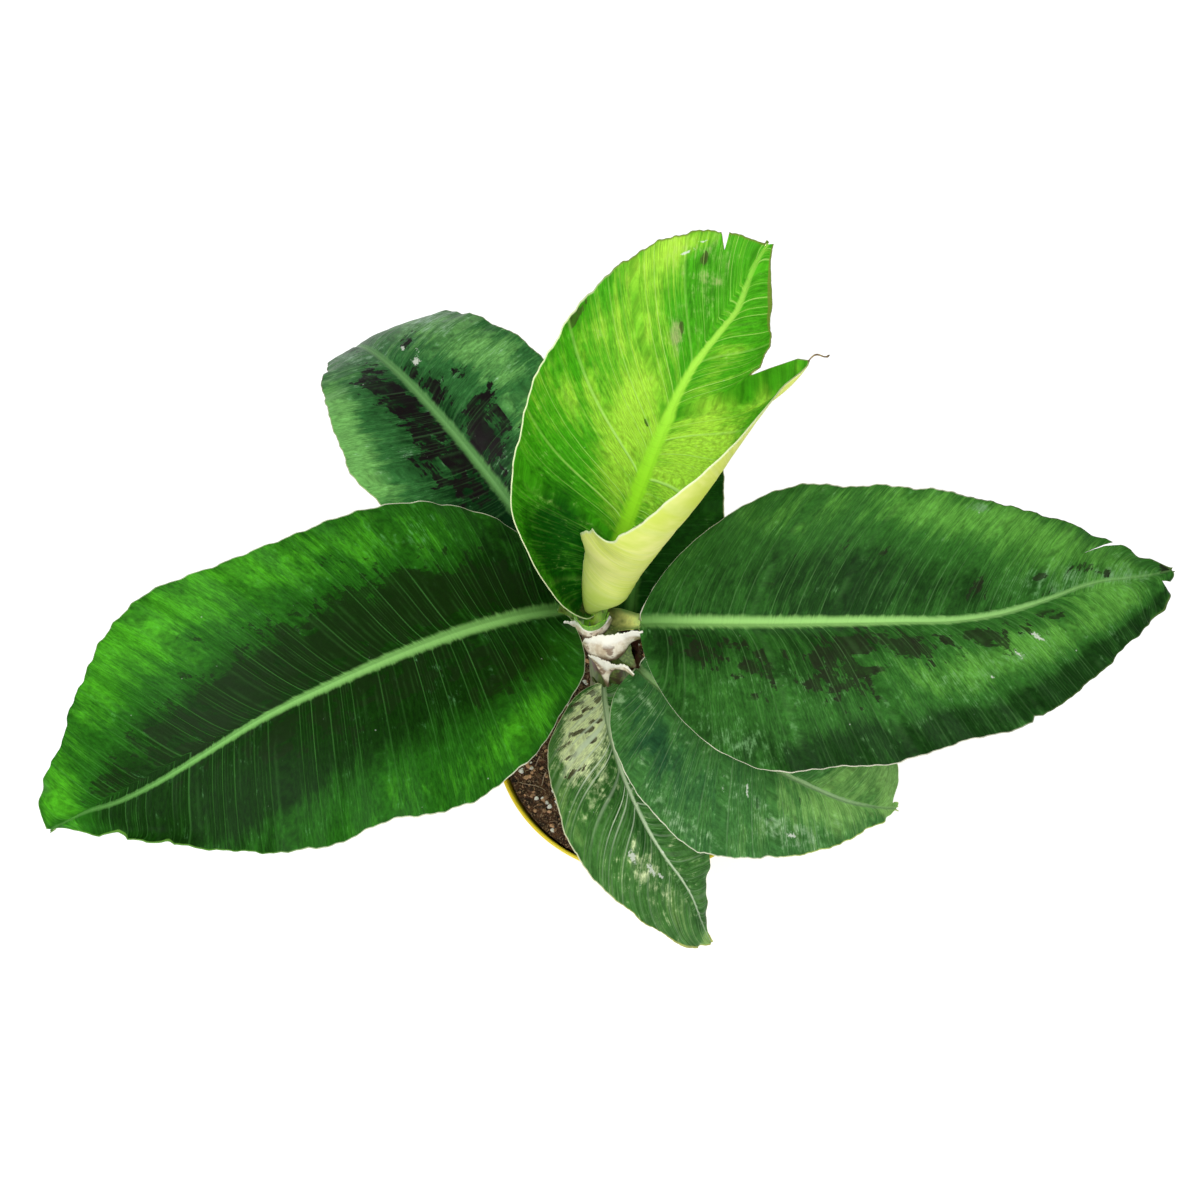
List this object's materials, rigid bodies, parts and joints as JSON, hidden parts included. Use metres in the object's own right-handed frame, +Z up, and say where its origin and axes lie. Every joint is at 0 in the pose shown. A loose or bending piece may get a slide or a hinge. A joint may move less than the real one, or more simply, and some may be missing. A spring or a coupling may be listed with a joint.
{
  "type": "potted banana plant",
  "caption": "Young banana plant with broad arching leaves on a leaning false stem, standing in a round tapered pot.",
  "frame": {"origin": "centre of the pot's flat underside", "axes": "+Z up the pot's axis, +X towards the large right-hand leaf, -Y towards the front leaf"},
  "size_m": [0.514, 0.324, 0.5133],
  "materials": {
    "pot_yellow": "satin yellow plastic",
    "potting_soil": "dark crumbly potting mix with white grains",
    "stem_sheath": "fibrous green to brown leaf sheaths",
    "leaf_young": "bright yellow-green leaf with pale veins",
    "leaf_green": "satin green leaf",
    "leaf_dark": "satin dark green leaf",
    "leaf_mottled": "dark green leaf with maroon-black blotches",
    "leaf_shaded": "satin dark green leaf",
    "leaf_dusty": "grey-green leaf with faint pale streaks",
    "leaf_old": "worn green leaf, bleached at its base",
    "dry_sheath": "dry papery sheath, off-white to tan"
  },
  "bodies": {
    "root": {"pot": "pot_yellow", "soil": "potting_soil", "pseudostem": "stem_sheath", "leaf_new": "leaf_young", "leaf_left": "leaf_green", "leaf_right": "leaf_dark", "leaf_back_left": "leaf_mottled", "leaf_back": "leaf_shaded", "leaf_front_right": "leaf_dusty", "leaf_front": "leaf_old", "sheath_stub_upper": "dry_sheath", "sheath_stub_middle": "dry_sheath", "sheath_stub_lower": "dry_sheath"}
  },
  "joints": []
}
